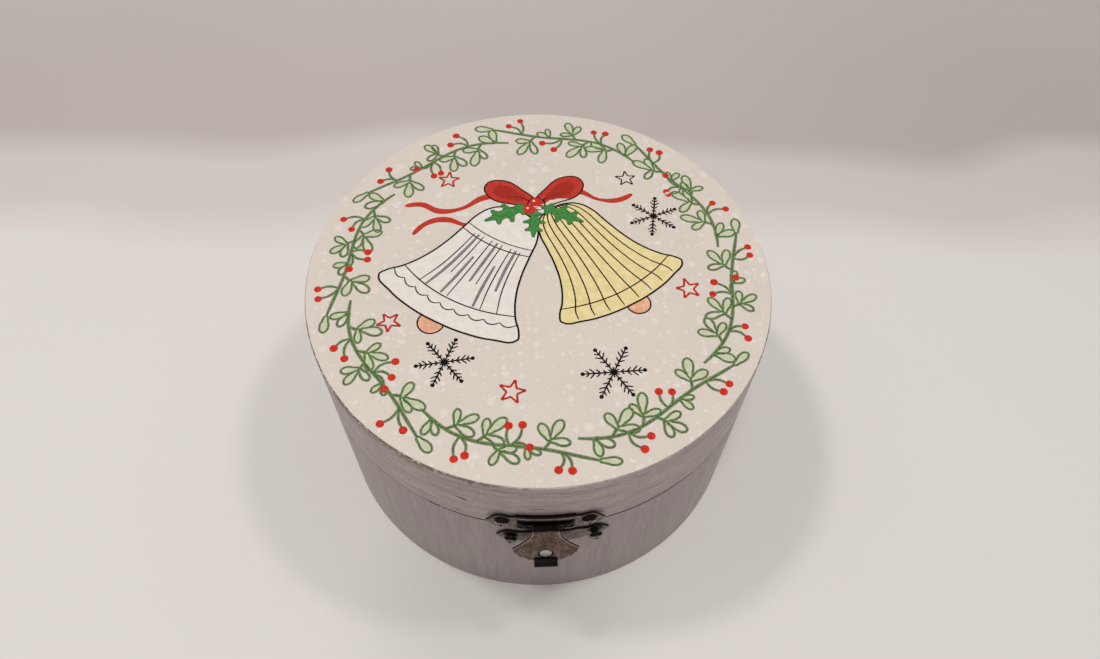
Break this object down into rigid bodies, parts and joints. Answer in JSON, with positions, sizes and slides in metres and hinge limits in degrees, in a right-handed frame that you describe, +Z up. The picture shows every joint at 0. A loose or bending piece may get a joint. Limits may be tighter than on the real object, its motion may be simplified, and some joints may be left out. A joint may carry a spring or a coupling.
{
  "type": "round hinged keepsake box",
  "caption": "Round wooden keepsake box with a flush hinged lid, a paper-covered top and a fan-shaped hasp latch.",
  "frame": {"origin": "centre of the underside, on the box's axis", "axes": "+Z up along the box's axis, -Y towards the hasp, +Y towards the hinge"},
  "size_m": [0.14, 0.1499, 0.08],
  "materials": {
    "bottom_panel": "brushed silver-grey paint over wood",
    "body_wall": "brushed silver-grey paint over wood, bare inside",
    "lid_wall": "brushed silver-grey paint over wood, bare inside",
    "lid_panel": "silver-grey paint on the edge, paper on top",
    "lid_paper": "matte printed paper under varnish",
    "clasp_plate": "aged bronze",
    "catch_plate": "aged bronze",
    "hasp_flap": "aged bronze",
    "hinge_leaf_lower": "aged bronze",
    "hinge_leaf_upper": "aged bronze",
    "hinge_pin": "aged bronze",
    "clasp_screw_left": "aged bronze",
    "clasp_screw_right": "aged bronze",
    "catch_screw_left": "aged bronze",
    "catch_screw_right": "aged bronze",
    "hinge_screw_lower_left": "aged bronze",
    "hinge_screw_lower_right": "aged bronze",
    "hinge_screw_upper_left": "aged bronze",
    "hinge_screw_upper_right": "aged bronze"
  },
  "bodies": {
    "box": {"bottom_panel": "bottom_panel", "body_wall": "body_wall", "catch_plate": "catch_plate", "catch_screw_left": "catch_screw_left", "catch_screw_right": "catch_screw_right", "hinge_leaf_lower": "hinge_leaf_lower", "hinge_screw_lower_left": "hinge_screw_lower_left", "hinge_screw_lower_right": "hinge_screw_lower_right", "hinge_pin": "hinge_pin"},
    "lid": {"lid_wall": "lid_wall", "lid_panel": "lid_panel", "lid_paper": "lid_paper", "clasp_plate": "clasp_plate", "clasp_screw_left": "clasp_screw_left", "clasp_screw_right": "clasp_screw_right", "hinge_leaf_upper": "hinge_leaf_upper", "hinge_screw_upper_left": "hinge_screw_upper_left", "hinge_screw_upper_right": "hinge_screw_upper_right"},
    "hasp": {"hasp_flap": "hasp_flap"}
  },
  "joints": [
    {"name": "lid_hinge", "type": "hinge", "parent": "box", "child": "lid", "pos_m": [0, 0.07045, 0.0543], "axis": [-1, 0, 0], "range_deg": [0, 170]},
    {"name": "hasp_swing", "type": "hinge", "parent": "lid", "child": "hasp", "pos_m": [0, -0.07203, 0.0578], "axis": [-1, 0, 0], "range_deg": [0, 150]}
  ]
}
